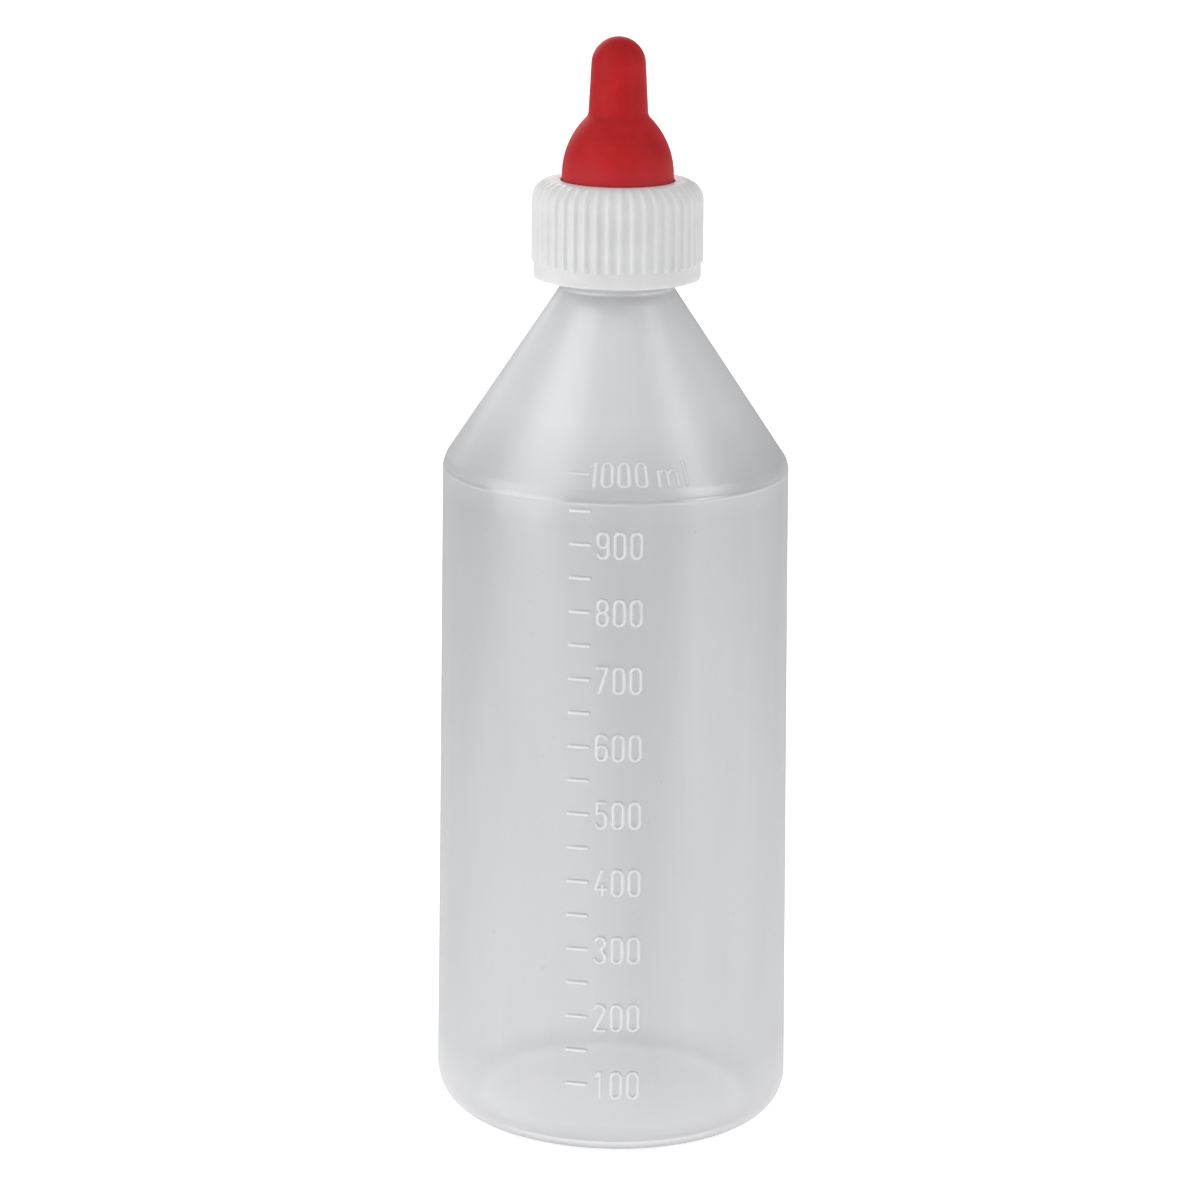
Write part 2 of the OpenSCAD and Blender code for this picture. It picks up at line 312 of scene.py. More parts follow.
class OuterWall:
    """The bottle's outer wall, read by the angle phi and by s, the arc length from the base's centre."""

    def __init__(self):
        self.outline = outer_outline()
        self.s_top = self.outline.s[-1]
        # on the straight wall, s is the height plus s_body
        self.s_body = self.outline.s_of_z(60.0, 40, 140) - 60.0
        self.s_neck = self.outline.s_of_z(THROAT_Z + FLARE_H, self.s_top - 30, self.s_top)
        mark_z = [FIRST_MARK_Z + MARK_RISE * k / 2 for k in range(MARK_COUNT)]
        self.marks = [self.outline.s_of_z(z, 40, self.s_top - 40) for z in mark_z]
        self.patch_lo, self.patch_hi = self.marks[0] - 4.6, self.marks[-1] + 4.8

    def wide_rows(self):
        """Rows of the whole wall, closest where it turns and on the thread."""
        body, neck, top = self.s_body, self.s_neck, self.s_top
        spans = [
            (0, PUSH_R + 1, 16),  # hollow of the base
            (PUSH_R + 1.6, body + BASE_ROUND + 0.5, 18),  # its rounding
            (body + BASE_ROUND + 3, body + 160, 38),
            (body + 161, body + 171, 50),  # shoulder
            (body + 174, neck - 5.2, 13),
            (neck - 4.6, neck, 9),  # throat
            (neck + 0.3, top - 0.9, 66),  # thread
            (top - 0.7, top, 4),  # rim
        ]
        ends = (self.patch_lo, self.patch_hi)
        rows = {s for lo, hi, n in spans for s in np.round(np.linspace(lo, hi, n), 4)}
        rows = {s for s in rows if s > 0 and min(abs(s - end) for end in ends) > 0.5}
        return sorted(rows | {round(end, 4) for end in ends})

    def close_rows(self, wide):
        """Rows of the patch under the scale, closest over its marks and figures."""
        rows = [s for s in wide if self.patch_lo <= s <= self.patch_hi]
        for k, m in enumerate(self.marks):
            # the marks of 100 ml have figures beside them
            half = 3.9 if k % 2 == 0 else 0.66
            rows = [s for s in rows if abs(s - m) > half + 0.05]
            rows += list(np.linspace(m - half, m + half, int(round(2 * half / ROW_GAP)) + 1))
        ends = {round(self.patch_lo, 4), round(self.patch_hi, 4)}
        return sorted({round(float(s), 4) for s in rows} | ends)

    def rows(self):
        """The wall's rows and the patch's. Inside the patch the wall's rows are rows of the patch too."""
        wide = self.wide_rows()
        close = self.close_rows(wide)
        inside = [s for s in wide if self.patch_lo < s < self.patch_hi]
        moved = {s: min(close, key=lambda d: abs(d - s)) for s in inside}
        return sorted({moved.get(s, s) for s in wide}), close

    def columns(self):
        """Angles of the wall's columns and of the patch's, which are closer."""
        first = SCALE_TURN - PATCH_SIDE / BODY_R
        close = first + COLUMN_GAP / BODY_R * np.arange(PATCH_CELLS * CELL_COLUMNS + 1)
        rest = np.linspace(close[-1], first + 2 * PI, 125)
        # closest over the mould's parting lines
        for seam in (PI / 2, 3 * PI / 2):
            rest = rest[np.abs(rest - seam) > 0.9 * (rest[1] - rest[0])]
            rest = np.r_[rest, seam + np.array([-0.022, -0.0085, -0.003, 0.0, 0.003, 0.0085, 0.022])]
        return np.r_[close[::CELL_COLUMNS], np.sort(rest)[1:-1]], close

    def relief(self, phi, s):
        """The scale's height, 0 on the wall and 1 on the crest of a line."""
        raised = np.zeros(s.shape)
        for at, mark, line, half_w in scale_lines():
            m = self.marks[int(mark * 2)]
            u = (phi - SCALE_TURN) * float(self.outline.at(m)[0]) - at
            v = s - m
            near = (np.abs(v) < 4.0) & (np.abs(u) < 3.6)
            d = distance_to_line(u[near], v[near], line)
            rise = np.sqrt(np.clip(1 - (d / (half_w + 0.06)) ** 2, 0, 1))
            raised[near] = np.maximum(raised[near], smooth(rise * 1.05))
        return raised

    def points(self, phi, s, raised=0.0):
        """Points of the wall, with its parting lines, its slight unevenness, its thread and its scale."""
        phi, s = np.broadcast_arrays(phi, s)
        r, z = self.outline.at(s)
        nr, nz = self.outline.normal(s)
        # parting line of the mould, down both sides and across the base, but not where it stands
        across = np.minimum(np.abs(phi - PI / 2), np.abs(phi - 3 * PI / 2)) * np.maximum(r, 3.0)
        on_wall = smooth((s - 4) / 4) * smooth((self.s_neck - 2 - s) / 3)
        h = SEAM_H * smooth(1 - across / SEAM_W) * on_wall * smooth(z / 1.5)
        # parting line of the shoulder's mould, all the way round
        h += SEAM_H * smooth(1 - np.abs(z - SHOULDER_BEAD_Z) / BEAD_W) * (s < self.s_neck - 20)
        # a blown wall is never quite even
        wave = (
            np.sin(2 * phi + 0.6 + z / 61) * 0.35
            + np.sin(3 * phi - 1.1 - z / 43) * 0.25
            + np.sin(5 * phi + z / 29) * 0.14
        )
        h += UNEVEN * wave * smooth((z - 14) / 25) * smooth((205 - z) / 30)
        h += RIDGE_H * helix_ridge(phi, z, NECK_RIDGE_Z, NECK_TURNS) * (s > self.s_neck - 0.5)
        h += RELIEF * raised
        return turn_point(r + h * nr, phi, z + h * nz)


def row_parts(patch, row):
    """The row's points on the patch's two sides, and its points outside the patch's columns."""
    i, own = row
    if i is None:
        return own[PATCH_CELLS], own[0], own[PATCH_CELLS + 1 :]
    return patch[i, -1], patch[i, 0], own


def join_rows(b, patch, low, high, phi_close):
    """Faces between two rows of the wall. A row is (its row in the patch, or None, and its own points),
    and a row that crosses the patch has its own points only outside it."""
    if low[0] is None and high[0] is None:
        b.ring_quads(low[1], high[1])
        return
    left0, right0, out0 = row_parts(patch, low)
    left1, right1, out1 = row_parts(patch, high)
    b.strip_quads(out0, out1)
    if low[0] is not None and high[0] is not None:
        # cells beside the patch meet all its rows
        side_l = patch[low[0] : high[0] + 1, -1]
        side_r = patch[low[0] : high[0] + 1, 0]
        steps = len(side_l) - 1
        for k in range(steps):
            own = out0 if k < steps / 2 else out1
            b.face(side_l[k], own[0], side_l[k + 1])
            b.face(own[-1], side_r[k], side_r[k + 1])
        mid = math.ceil(steps / 2)
        b.face(side_l[mid], out0[0], out1[0])
        b.face(out0[-1], side_r[mid], out1[-1])
        return
    b.face(left0, out0[0], out1[0], left1)
    b.face(out0[-1], right0, right1, out1[-1])
    phi_wide = phi_close[::CELL_COLUMNS]
    if low[0] is None:
        b.zip_rows(low[1][: PATCH_CELLS + 1], phi_wide, patch[high[0]], phi_close)
    else:
        b.zip_rows(patch[low[0]], phi_close, high[1][: PATCH_CELLS + 1], phi_wide)


def add_outer_wall(b):
    """Adds the outer wall: a close patch under the scale, and wider cells round it. Returns the patch's
    points and relief, and the rim's points and angles."""
    wall = OuterWall()
    wide, close = wall.rows()
    phi_wide, phi_close = wall.columns()
    s, phi = np.meshgrid(np.array(close), phi_close, indexing="ij")
    raised = wall.relief(phi, s)
    patch = b.add(wall.points(phi, s, raised))
    for low, high in zip(patch[:-1], patch[1:]):
        b.strip_quads(low, high)
    rows = []
    for at in wide:
        if wall.patch_lo - 1e-3 <= at <= wall.patch_hi + 1e-3:
            rows.append((close.index(at), b.add(wall.points(phi_wide[PATCH_CELLS + 1 :], at))))
        else:
            rows.append((None, b.add(wall.points(phi_wide, at))))
    for low, high in zip(rows[:-1], rows[1:]):
        join_rows(b, patch, low, high, phi_close)
    b.cap(rows[0][1], (0, 0, PUSH_H), up=False)
    return patch, raised, rows[-1][1], phi_wide


def add_inner_wall(b, rim, phi):
    """Adds the inner wall, from the rim's points down to the base."""
    outline = inner_outline()
    even = np.linspace(1.0, outline.s[-1] - 1.8, 96)
    prev = rim
    for s in sorted(set(np.round(outline.s[:7], 4)) | set(np.round(even, 4))):
        r, z = outline.at(s)
        here = b.add(turn_point(r, phi, z))
        b.ring_quads(prev, here)
        prev = here
    b.cap(prev, (0, 0, PUSH_H + WALL), up=True)


def make_bottle():
    b = Builder()
    patch, raised, rim, phi = add_outer_wall(b)
    outer_faces = len(b.f)
    add_inner_wall(b, rim, phi)
    ob = b.obj("bottle_shell", "translucent_plastic", "bottle", "bottle")
    # the inner wall has the second material
    inside = np.zeros(len(ob.data.polygons), np.int32)
    inside[outer_faces:] = 1
    ob.data.polygons.foreach_set("material_index", inside)
    share = np.zeros(len(ob.data.vertices), np.float32)
    share[patch.ravel()] = raised.ravel()
    ob.data.attributes.new("raised", "FLOAT", "POINT").data.foreach_set("value", share)
    return ob


# ---------------------------------------------------------------- screw ring
def make_ring():
    """The ribbed ring, as one closed profile whose radius changes with the ribs and the thread."""
    b = Builder()
    per = np.array([-0.5, -0.36, -0.29, -0.22, -0.15, -0.08, 0.0, 0.08, 0.15, 0.22, 0.29, 0.36])
    phi = np.concatenate([(k + per) * 2 * PI / RIB_COUNT for k in range(RIB_COUNT)])
    rib = np.tile(np.cos(PI * np.minimum(np.abs(per) / 0.36, 1.0)) * 0.5 + 0.5, RIB_COUNT)
    rib_z = RING_Z + BAND_H
    wall = RIB_R - RIB_DEPTH * (1 - rib)

    rows = []  # (radius on each column, height), from the lower edge up the outside and down the inside
    # lower edge and plain band
    edge = [(BORE_R + 0.7, 0.0), (BAND_R - 0.5, 0.0), (BAND_R - 0.15, 0.14), (BAND_R, 0.5)]
    for r, dz in edge:
        rows.append((np.full(phi.shape, r), RING_Z + dz))
    for z in (RING_Z + 1.5, RING_Z + 2.6, rib_z - 0.55, rib_z - 0.3):
        rows.append((np.full(phi.shape, BAND_R), z))
    rows.append((np.full(phi.shape, BAND_R - 0.02), rib_z - 0.12))
    # foot of the ribs
    for t in (0.0, 0.33, 0.66, 1.0):
        rows.append((BAND_R + (wall - BAND_R) * smooth(t), rib_z + 0.05 + 0.55 * t))
    for z in np.linspace(rib_z + 1.4, RING_TOP - RING_ROUND - 0.6, 9):
        rows.append((wall, z))
    # the ribs run on over the rounded edge and fade out towards the flat top
    for a in np.linspace(0, PI / 2, 27):
        rows.append((wall - RING_ROUND * (1 - math.cos(a)), RING_TOP - RING_ROUND * (1 - math.sin(a))))
    # flat top and the rounded edge of its hole
    for r in (16.6, HOLE_R + 0.75, HOLE_R + 0.35):
        rows.append((np.full(phi.shape, r), RING_TOP))
    for a in (PI / 6, PI / 3, PI / 2):
        r = HOLE_R + 0.35 * (1 - math.sin(a))
        rows.append((np.full(phi.shape, r), RING_TOP - 0.35 * (1 - math.cos(a))))
    # underside of the top, then the bore with its thread
    under = [(HOLE_R, 0.3), (HOLE_R + 0.2, 0.0), (16.5, 0.0), (BORE_R - 0.5, 0.0), (BORE_R, -0.5)]
    for r, dz in under:
        rows.append((np.full(phi.shape, r), RING_UNDER + dz))
    for z in np.linspace(RING_UNDER - 1.0, RING_Z + 0.9, 72):
        ridge = helix_ridge(phi, np.full(phi.shape, z), NECK_RIDGE_Z + PITCH / 2, RING_TURNS)
        rows.append((BORE_R - RIDGE_H * ridge, z))
    rows.append((np.full(phi.shape, BORE_R), RING_Z + 0.6))
    rows.append((np.full(phi.shape, BORE_R + 0.25), RING_Z + 0.15))
    ids = [b.add(turn_point(r, phi, z)) for r, z in rows]
    for lo, hi in zip(ids, ids[1:] + ids[:1]):
        b.ring_quads(lo, hi)
    return b.obj("screw_ring_body", "white_plastic", "screw_ring", "screw_ring")


# ---------------------------------------------------------------- teat
def make_teat():
    """The hollow teat, from its flange over the bulb and stem to the milk opening and back inside."""
    b = Builder()
    bulb_z = RING_TOP + 1
    bulb_cr = BULB_R - BULB_ARC
    stem_z = bulb_z + math.sqrt(BULB_ARC**2 - (STEM_R - bulb_cr) ** 2)
    tip_cz = stem_z + STEM_L - TIP_R
    top_a = math.degrees(math.asin((stem_z - bulb_z) / BULB_ARC))
    inner_stem_r = STEM_R - TEAT_T - 0.3
    inner_top_a = math.degrees(math.acos((inner_stem_r - bulb_cr) / (BULB_ARC - TEAT_T)))
    flange_lo, flange_hi = FLANGE_Z, FLANGE_Z + FLANGE_T
    hole_a = math.degrees(math.acos(MILK_R / TIP_R))
    inner_hole_a = math.degrees(math.acos(MILK_R / (TIP_R - TEAT_T)))
    stem = [(STEM_R - 0.12, stem_z + 0.55), (STEM_R - 0.2, stem_z + 1.4)]
    points = (
        [(BULB_R - TEAT_T, flange_lo), (FLANGE_R - 0.3, flange_lo), (FLANGE_R, flange_lo + 0.3)]
        + [(FLANGE_R, flange_hi - 0.3), (FLANGE_R - 0.3, flange_hi)]
        + [(BULB_R + 0.1, flange_hi), (BULB_R, flange_hi + 0.12)]
        + arc(bulb_cr, bulb_z, BULB_ARC, 0, top_a - 0.6, 60)
        + stem
        + arc(0, tip_cz, TIP_R, 0, hole_a - 2, 50)
        + [(MILK_R, tip_cz + math.sqrt(TIP_R**2 - MILK_R**2) - 0.15)]
        + arc(0, tip_cz, TIP_R - TEAT_T, inner_hole_a, 0, 20)
        + arc(bulb_cr, bulb_z, BULB_ARC - TEAT_T, inner_top_a, 0, 30)
    )
    outline = Profile(points)
    phi = np.linspace(0, 2 * PI, 145)[:-1]
    s = np.linspace(0, outline.s[-1], 250)
    s = np.array(sorted(set(np.round(s[1:-1], 4)) | set(np.round(outline.s[:7], 4))))
    ids = []
    for t in s:
        r, z = outline.at(t)
        # moulding seam over the bulb and stem, and rubber that isn't quite round
        across = np.minimum(np.abs(phi - PI / 2), np.abs(phi - 3 * PI / 2)) * max(float(r), 1.0)
        seam = 0.05 * smooth(1 - across / 0.5) * smooth((z - RING_TOP - 0.5) / 2) * smooth((r - 1.6) / 3)
        even = 0.05 * np.sin(2 * phi + z / 7) * smooth((z - RING_TOP - 2) / 6) * smooth((r - 1.5) / 4)
        ids.append(b.add(turn_point(r + seam + even, phi, z)))
    for lo, hi in zip(ids, ids[1:] + ids[:1]):
        b.ring_quads(lo, hi)
    return b.obj("rubber_teat", "red_rubber", "teat", "teat")


# ---------------------------------------------------------------- materials
class Nodes:
    def __init__(self, name):
        self.mat = bpy.data.materials.new(name)
        self.mat.use_nodes = True
        self.t = self.mat.node_tree
        self.t.nodes.clear()
        self.out = self.t.nodes.new("ShaderNodeOutputMaterial")

    def new(self, kind, **inputs):
        n = self.t.nodes.new(kind)
        for k, v in inputs.items():
            self.set(n, k.replace("_", " "), v)
        return n

    def set(self, n, key, v):
        s = n.inputs[int(key)] if key.isdigit() else n.inputs[key]
        if isinstance(v, bpy.types.NodeSocket):
            self.t.links.new(v, s)
        else:
            s.default_value = v

    def link(self, a, b):
        self.t.links.new(a, b)

    def coords(self, scale=1000.0):
        """Object coordinates in millimetres."""
        tc = self.t.nodes.new("ShaderNodeTexCoord")
        m = self.new("ShaderNodeVectorMath")
        m.operation = "SCALE"
        self.link(tc.outputs["Object"], m.inputs[0])
        m.inputs["Scale"].default_value = scale
        return m.outputs[0]

    def noise(self, vec, size, detail=3.0, rough=0.5, stretch=None):
        if stretch is not None:
            m = self.t.nodes.new("ShaderNodeMapping")
            m.inputs["Scale"].default_value = stretch
            self.link(vec, m.inputs["Vector"])
            vec = m.outputs[0]
        n = self.new("ShaderNodeTexNoise", Scale=1.0 / size, Detail=detail, Roughness=rough)
        self.link(vec, n.inputs["Vector"])
        return n.outputs["Fac"]

    def ramp(self, fac, stops):
        n = self.t.nodes.new("ShaderNodeValToRGB")
        while len(n.color_ramp.elements) < len(stops):
            n.color_ramp.elements.new(0.5)
        for e, (p, c) in zip(n.color_ramp.elements, stops):
            e.position = p
            e.color = (*c, 1) if len(c) == 3 else c
        self.link(fac, n.inputs["Fac"])
        return n.outputs["Color"]

    def remap(self, fac, a, b, c, d):
        n = self.new("ShaderNodeMapRange")
        for i, v in enumerate((a, b, c, d)):
            n.inputs[i + 1].default_value = v
        self.link(fac, n.inputs[0])
        return n.outputs[0]

    def mix_value(self, a, b, share):
        n = self.new("ShaderNodeMix")
        n.data_type = "FLOAT"
        self.set(n, "0", share)
        self.set(n, "2", a)
        self.set(n, "3", b)
        return n.outputs[0]

    def mix_colour(self, share, a, b):
        n = self.new("ShaderNodeMix")
        n.data_type = "RGBA"
        self.set(n, "0", share)
        self.set(n, "6", a)
        self.set(n, "7", b)
        return n.outputs[2]

    def mix_shader(self, share, a, b):
        n = self.new("ShaderNodeMixShader")
        self.set(n, "0", share)
        self.link(a, n.inputs[1])
        self.link(b, n.inputs[2])
        return n.outputs[0]

    def math(self, kind, a, b):
        n = self.new("ShaderNodeMath")
        n.operation = kind
        self.set(n, "0", a)
        self.set(n, "1", b)
        return n.outputs[0]

    def vector(self, kind, vec, other=None):
        n = self.new("ShaderNodeVectorMath")
        n.operation = kind
        self.link(vec, n.inputs[0])
        if other is not None:
            n.inputs[1].default_value = other
        return n

    def length(self, vec):
        return self.vector("LENGTH", vec).outputs["Value"]

    def dot(self, vec, way):
        return self.vector("DOT_PRODUCT", vec, way).outputs["Value"]

    def times(self, vec, by):
        return self.vector("MULTIPLY", vec, by).outputs["Vector"]

    def bump(self, height, strength, distance, normal=None):
        n = self.new("ShaderNodeBump", Strength=strength, Distance=distance)
        self.link(height, n.inputs["Height"])
        if normal is not None:
            self.link(normal, n.inputs["Normal"])
        return n.outputs["Normal"]


# the grey that painted shade on the wall goes to
SHADE_GREY = (0.401, 0.4, 0.411, 1)


class MilkyPlastic(Nodes):
    """Natural milky plastic, and the places where the bottle's wall looks different."""

    def __init__(self, name, rounding_shade):
        super().__init__(name)
        vec = self.coords()
        self.cloud = self.noise(vec, 38, 2.0, stretch=(1, 1, 0.35))
        self.flow = self.noise(vec, 7, 3.0, stretch=(1, 1, 0.12))
        self.fine = self.noise(vec, 0.55, 2.0)
        self.speck = self.noise(vec, 1.6, 1.0)
        self.both = self.mix_value(self.cloud, self.flow, 0.3)
        self.height = self.dot(vec, (0, 0, 1))
        self.reach = self.length(self.times(vec, (1, 1, 0)))
        self.grazing = self.new("ShaderNodeLayerWeight", Blend=0.5).outputs["Facing"]
        raised = self.new("ShaderNodeAttribute")
        raised.attribute_name = "raised"
        self.raised = raised.outputs["Fac"]
        # painted light: above the shoulder the wall is painted lighter and less clear, for the light that
        # falls on the cone from above
        self.painted_cone_light = self.remap(self.height, 158, 182, 0.0, 1.0)
        # painted shade at the very bottom, where it stands on the floor
        self.painted_contact_shade = self.remap(self.height, 0.6, 3.4, 0.6, 0.0)
        # painted shade: seen edge on, the wall is painted a little greyer, more so higher up
        greyer = self.remap(self.height, 30, 160, 0.12, 0.38)
        self.painted_edge_shade = self.math("MULTIPLY", self.remap(self.grazing, 0.45, 0.9, 0, 1), greyer)
        # painted shade: the rounding between the wall and the base, seen edge on from inside, is painted
        # darker
        low = self.remap(self.height, 3.5, 8.0, rounding_shade, 0.0)
        self.rounding = self.math("MULTIPLY", self.remap(self.reach, 34.5, 37.0, 0.0, 1.0), low)

    def scattered(self, foot):
        """Colour of the light that the wall scatters back."""
        wall = self.ramp(self.both, [(0.3, (0.616, 0.619, 0.631)), (0.7, (0.698, 0.701, 0.713))])
        wall = self.mix_colour(self.remap(self.speck, 0.76, 0.8, 0.0, 0.5), wall, (0.42, 0.41, 0.40, 1))
        # painted light: the cone is painted lighter
        wall = self.mix_colour(self.painted_cone_light, wall, (0.985, 0.99, 1.0, 1))
        # painted shade: the base's rounding is painted darker
        wall = self.mix_colour(self.rounding, wall, (0.12, 0.12, 0.125, 1))
        # painted shade: greyer where the wall is seen edge on
        wall = self.mix_colour(self.painted_edge_shade, wall, SHADE_GREY)
        # painted light: the foot is painted a shade lighter, for the light from the floor
        wall = self.mix_colour(self.remap(self.height, 1, 20, foot, 0.0), wall, (0.93, 0.93, 0.94, 1))
        # painted shade: darker at the very bottom, where it stands
        wall = self.mix_colour(self.painted_contact_shade, wall, SHADE_GREY)
        # painted highlight: the raised lines are painted whiter
        return self.mix_colour(self.raised, wall, (0.95, 0.95, 0.955, 1))

    def through(self):
        """Colour of the light that comes through the wall and is scattered on the way."""
        wall = self.ramp(self.both, [(0.3, (0.762, 0.764, 0.775)), (0.7, (0.842, 0.844, 0.855))])
        # painted light: the cone is painted lighter
        wall = self.mix_colour(self.painted_cone_light, wall, (0.952, 0.956, 0.968, 1))
        # painted shade: greyer where the wall is seen edge on
        wall = self.mix_colour(self.painted_edge_shade, wall, SHADE_GREY)
        # painted shade: darker at the very bottom, where it stands
        wall = self.mix_colour(self.painted_contact_shade, wall, SHADE_GREY)
        # painted light: the base is painted lighter in the light that comes through it, for the light of
        # the floor under it
        under = self.remap(self.height, 7, 9, 1, 0)
        painted_disc_light = self.math("MULTIPLY", self.remap(self.reach, 33.0, 35.5, 1.0, 0.0), under)
        wall = self.mix_colour(painted_disc_light, wall, (0.97, 0.969, 0.98, 1))
        # painted shade: the base's rounding is painted darker
        wall = self.mix_colour(self.rounding, wall, (0.16, 0.16, 0.166, 1))
        # painted highlight: the raised lines are painted whiter
        return self.mix_colour(self.raised, wall, (0.97, 0.972, 0.98, 1))

    def clear(self, face, edge):
        """Share of the light that passes straight through, seen face on and edge on."""
        clear = self.remap(self.grazing, 0.0, 0.85, face, edge)
        # the raised lines let less light straight through, which adds to their painted highlight
        clear = self.math("MULTIPLY", clear, self.remap(self.raised, 0, 1, 1.0, 0.2))
        # the cone lets less light straight through, which adds to its painted light
        return self.math("MULTIPLY", clear, self.remap(self.painted_cone_light, 0, 1, 1.0, 0.6))

    def sheen(self, shine):
        """Share of the light that the surface reflects."""
        sheen = self.remap(self.math("POWER", self.grazing, 5.0), 0, 1, shine, 0.22)
        # the cone is duller than the wall, the foot is scuffed, the shoulder's parting line is polished
        sheen = self.math("MULTIPLY", sheen, self.remap(self.height, 160, 170, 1.0, 0.98))
        sheen = self.math("MULTIPLY", sheen, self.remap(self.height, 0.5, 9, 0.25, 1.0))
        sheen = self.math("MULTIPLY", sheen, self.remap(self.raised, 0, 1, 1.0, 0.5))
        above = self.math("SUBTRACT", self.height, SHOULDER_BEAD_Z + 0.15)
        off_line = self.math("ABSOLUTE", above, 0.0)
        return self.mix_value(sheen, 0.27, self.remap(off_line, 0.2, 0.75, 1.0, 0.0))


def plastic_bottle(name, clear_face, clear_edge, scatter, shine, rounding_shade, foot):
    """One side of the wall: most light is scattered in it, and some passes straight through."""
    n = MilkyPlastic(name, rounding_shade)
    rough = n.remap(n.mix_value(n.cloud, n.fine, 0.5), 0.3, 0.7, 0.12, 0.21)
    normal = n.bump(n.fine, 0.05, 0.00006, n.bump(n.flow, 0.12, 0.0004))
    back = n.new("ShaderNodeBsdfPrincipled", Base_Color=n.scattered(foot), Roughness=rough, IOR=1.5)
    n.set(back, "Specular IOR Level", 0.0)
    n.link(normal, back.inputs["Normal"])
    on = n.new("ShaderNodeBsdfTranslucent", Color=n.through())
    straight = n.new("ShaderNodeBsdfTransparent", Color=(0.955, 0.957, 0.967, 1))
    milk = n.mix_shader(n.mix_value(scatter, 0.28, n.raised), back.outputs[0], on.outputs[0])
    skin = n.mix_shader(n.clear(clear_face, clear_edge), milk, straight.outputs[0])
    # the mould is polished below the shoulder's parting line and blasted above it
    dull = n.remap(n.height, 164.9, 165.2, 0.0, 0.165)
    gloss = n.new("ShaderNodeBsdfGlossy", Roughness=n.math("ADD", rough, dull), Normal=normal)
    n.link(n.mix_shader(n.sheen(shine), skin, gloss.outputs[0]), n.out.inputs["Surface"])
    return n.mat


def plastic_ring():
    n = Nodes("white_plastic")
    vec = n.coords()
    cloud = n.noise(vec, 11, 3.0)
    fine = n.noise(vec, 0.5, 3.0)
    scuff = n.noise(vec, 2.2, 5.0, 0.7, stretch=(1, 1, 0.3))
    both = n.mix_value(cloud, scuff, 0.35)
    colour = n.ramp(both, [(0.3, (0.7, 0.702, 0.705)), (0.65, (0.765, 0.767, 0.77))])
    plastic = n.new("ShaderNodeBsdfPrincipled", IOR=1.5)
    n.link(colour, plastic.inputs["Base Color"])
    n.link(n.remap(n.mix_value(fine, scuff, 0.5), 0.3, 0.7, 0.32, 0.5), plastic.inputs["Roughness"])
    plastic.inputs["Subsurface Weight"].default_value = 0.35
    plastic.inputs["Subsurface Radius"].default_value = (1, 0.95, 0.9)
    plastic.inputs["Subsurface Scale"].default_value = 0.0013
    normal = n.bump(scuff, 0.06, 0.0002)
    n.link(n.bump(fine, 0.12, 0.00006, normal), plastic.inputs["Normal"])
    n.link(plastic.outputs[0], n.out.inputs["Surface"])
    return n.mat


def rubber():
    n = Nodes("red_rubber")
    vec = n.coords()
    cloud = n.noise(vec, 9, 3.0)
    fine = n.noise(vec, 0.35, 3.0, 0.6)
    dust = n.noise(vec, 2.6, 5.0, 0.65)
    both = n.mix_value(cloud, dust, 0.3)
    colour = n.ramp(both, [(0.32, (0.39, 0.009, 0.012)), (0.68, (0.53, 0.015, 0.018))])
    # painted reflection: the rubber is painted paler just above the ring, where the white ring lights it
    painted_ring_light = n.remap(n.dot(vec, (0, 0, 1)), RING_TOP + 0.4, RING_TOP + 7, 0.55, 0.0)
    colour = n.mix_colour(painted_ring_light, colour, (0.66, 0.045, 0.055, 1))
    skin = n.new("ShaderNodeBsdfPrincipled", IOR=1.5)
    n.link(colour, skin.inputs["Base Color"])
    n.link(n.remap(n.mix_value(fine, dust, 0.5), 0.3, 0.7, 0.42, 0.6), skin.inputs["Roughness"])
    skin.inputs["Specular IOR Level"].default_value = 0.14
    normal = n.bump(dust, 0.08, 0.0003)
    n.link(n.bump(fine, 0.25, 0.00008, normal), skin.inputs["Normal"])
    n.link(skin.outputs[0], n.out.inputs["Surface"])
    return n.mat


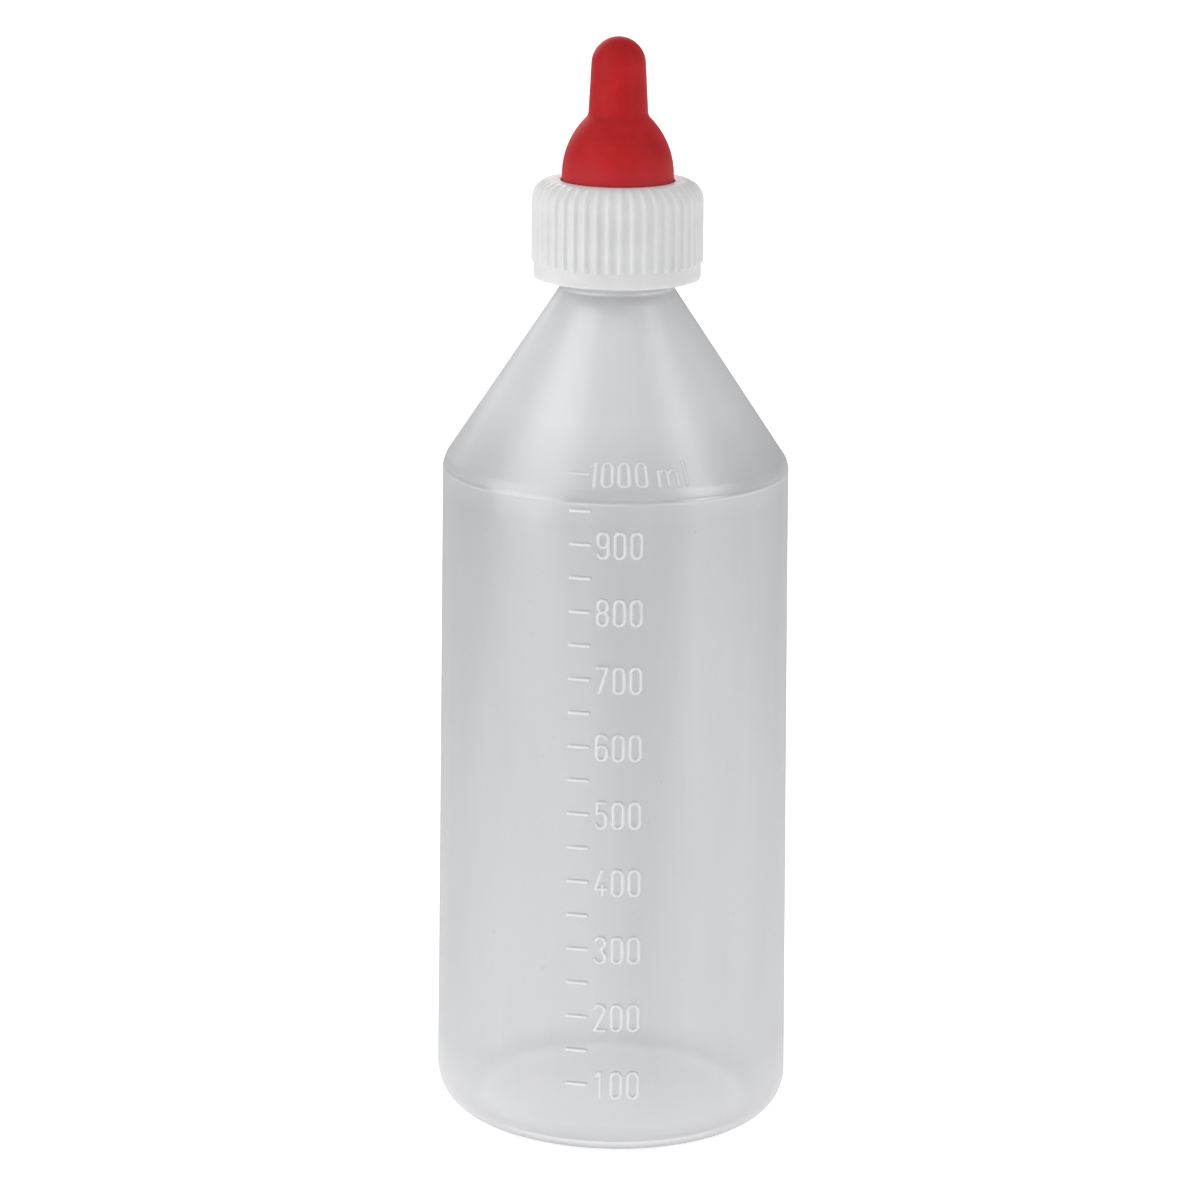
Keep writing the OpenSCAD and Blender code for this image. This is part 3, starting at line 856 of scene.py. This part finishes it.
# ---------------------------------------------------------------- floor, light, camera
def make_floor():
    me = bpy.data.meshes.new("floor")
    half = 8.0
    corners = [(-half, -half, 0), (half, -half, 0), (half, half, 0), (-half, half, 0)]
    me.from_pydata(corners, [], [(0, 1, 2, 3)])
    floor = bpy.data.objects.new("floor", me)
    bpy.context.scene.collection.objects.link(floor)
    n = Nodes("pale_floor")
    sheet = n.new("ShaderNodeBsdfDiffuse", Color=(0.86, 0.86, 0.86, 1))
    # the floor glows: to the camera close to white all the way back; to the object as a painted pool of
    # light round the object and to the right, with painted shade farther out, behind to the left and in
    # front
    path = n.t.nodes.new("ShaderNodeLightPath")
    vec = n.coords(1.0)
    reach = n.length(vec)
    seen = n.remap(reach, 0.15, 1.2, 0.60, 0.95)
    lit = n.remap(reach, 0.06, 0.8, 0.72, 0.34)
    aside = n.dot(vec, (-0.86, 0.5, 0))
    lit = n.math("MULTIPLY", lit, n.remap(aside, 0.1, 0.6, 1.0, 0.25))
    lit = n.math("MULTIPLY", lit, n.remap(aside, -0.6, -0.1, 1.35, 1.0))
    front = math.radians(15)
    along = n.dot(vec, (math.sin(front), -math.cos(front), 0))
    across = n.math("ABSOLUTE", n.dot(vec, (math.cos(front), math.sin(front), 0)), 0.0)
    # painted shadow on the floor in front of the object
    wedge = n.math("SUBTRACT", along, n.math("MULTIPLY", across, 1.4))
    lit = n.math("MULTIPLY", lit, n.remap(wedge, 0.03, 0.28, 1.0, 0.35))
    glow = n.mix_value(lit, seen, path.outputs["Is Camera Ray"])
    glowing = n.new("ShaderNodeEmission", Strength=glow)
    add = n.t.nodes.new("ShaderNodeAddShader")
    n.link(sheet.outputs[0], add.inputs[0])
    n.link(glowing.outputs[0], add.inputs[1])
    n.link(add.outputs[0], n.out.inputs["Surface"])
    me.materials.append(n.mat)


def make_room():
    """A white room, which lights the object less than the camera sees."""
    world = bpy.data.worlds.new("studio")
    bpy.context.scene.world = world
    world.use_nodes = True
    sky = world.node_tree
    bg = sky.nodes["Background"]
    bg.inputs["Color"].default_value = (1.0, 1.0, 1.0, 1)
    path = sky.nodes.new("ShaderNodeLightPath")
    share = sky.nodes.new("ShaderNodeMapRange")
    share.inputs["To Min"].default_value = 0.47
    share.inputs["To Max"].default_value = 1.0
    sky.links.new(path.outputs["Is Camera Ray"], share.inputs["Value"])
    sky.links.new(share.outputs[0], bg.inputs["Strength"])


def soft_box(name, at, aim, size, power, core=0.0):
    """An area lamp that is brightest in the middle and fades out to both sides, beyond its core."""
    lamp = bpy.data.lights.new(name, "AREA")
    lamp.shape = "RECTANGLE"
    lamp.size, lamp.size_y = size
    lamp.energy = power
    lamp.use_nodes = True
    t = lamp.node_tree
    geo = t.nodes.new("ShaderNodeNewGeometry")
    across = t.nodes.new("ShaderNodeSeparateXYZ")
    t.links.new(geo.outputs["Parametric"], across.inputs[0])
    mid = t.nodes.new("ShaderNodeMath")
    mid.operation = "SUBTRACT"
    mid.inputs[1].default_value = 0.5
    far = t.nodes.new("ShaderNodeMath")
    far.operation = "ABSOLUTE"
    fade = t.nodes.new("ShaderNodeMapRange")
    fade.interpolation_type = "SMOOTHSTEP"
    for i, v in enumerate((core, 0.5, 1.0, 0.0)):
        fade.inputs[i + 1].default_value = v
    t.links.new(across.outputs[0], mid.inputs[0])
    t.links.new(mid.outputs[0], far.inputs[0])
    t.links.new(far.outputs[0], fade.inputs[0])
    t.links.new(fade.outputs[0], t.nodes["Emission"].inputs["Strength"])
    ob = bpy.data.objects.new(name, lamp)
    bpy.context.scene.collection.objects.link(ob)
    ob.location = at
    ob.rotation_euler = (Vector(aim) - Vector(at)).to_track_quat("-Z", "Y").to_euler()


def make_camera():
    """A level camera whose frame is shifted down to the bottle, as a view camera's is. The shift is a
    shear of the tripod's axes, so that a camera taken off the tripod is a plain one."""
    sensor, lens, roll = 36.0, 127.88, math.radians(0.46)
    right, down = 0.1048, 0.8748  # the frame's shift, in frame widths
    place = Vector((-38.8, -1112.8, 402.9)) * MM
    c, s = math.cos(roll), math.sin(roll)
    x_axis, y_axis = np.array([c, 0, s]), np.array([-s, 0, c])
    look = np.array([0.0, 1.0, 0.0]) + (right * x_axis - down * y_axis) * sensor / lens
    length = float(np.linalg.norm(look))
    m = np.stack([x_axis, y_axis, -look / length], 1)
    u, scale, vt = np.linalg.svd(m)
    if np.linalg.det(u) < 0:
        u[:, 2] *= -1
        vt[2, :] *= -1
    tripod = bpy.data.objects.new("tripod", None)
    bpy.context.scene.collection.objects.link(tripod)
    tripod.location = place
    tripod.rotation_mode = "QUATERNION"
    tripod.rotation_quaternion = Matrix(u.tolist()).to_quaternion()
    tripod.scale = scale.tolist()
    data = bpy.data.cameras.new("camera")
    data.sensor_width = sensor
    data.lens = lens * length
    data.clip_start, data.clip_end = 0.05, 50
    cam = bpy.data.objects.new("camera", data)
    bpy.context.scene.collection.objects.link(cam)
    cam.parent = tripod
    cam.rotation_mode = "QUATERNION"
    cam.rotation_quaternion = Matrix(vt.tolist()).to_quaternion()
    bpy.context.scene.camera = cam


bottle = make_bottle()
ring = make_ring()
teat = make_teat()
bottle.data.materials.append(plastic_bottle("milky_plastic", 0.5, 0.1, 0.45, 0.24, 0.0, 1.0))
bottle.data.materials.append(plastic_bottle("milky_plastic_inside", 0.74, 0.12, 0.5, 0.04, 0.85, 0.0))
ring.data.materials.append(plastic_ring())
teat.data.materials.append(rubber())
make_floor()
make_room()
soft_box("left_box", (-0.53, -0.27, 0.52), (0, 0, 0.45), (0.85, 1.0), 3.2, 0.2)
soft_box("right_box", (0.74, -0.42, 0.64), (0, 0, 0.32), (0.85, 0.65), 3.2)
soft_box("top_box", (0.0, -0.3, 1.15), (0, 0, 0.15), (0.9, 0.5), 1.7)
soft_box("back_box", (-0.3, 1.1, 0.7), (0, 0, 0.12), (1.8, 0.7), 8.8)
make_camera()
bpy.context.scene.view_settings.view_transform = "Standard"
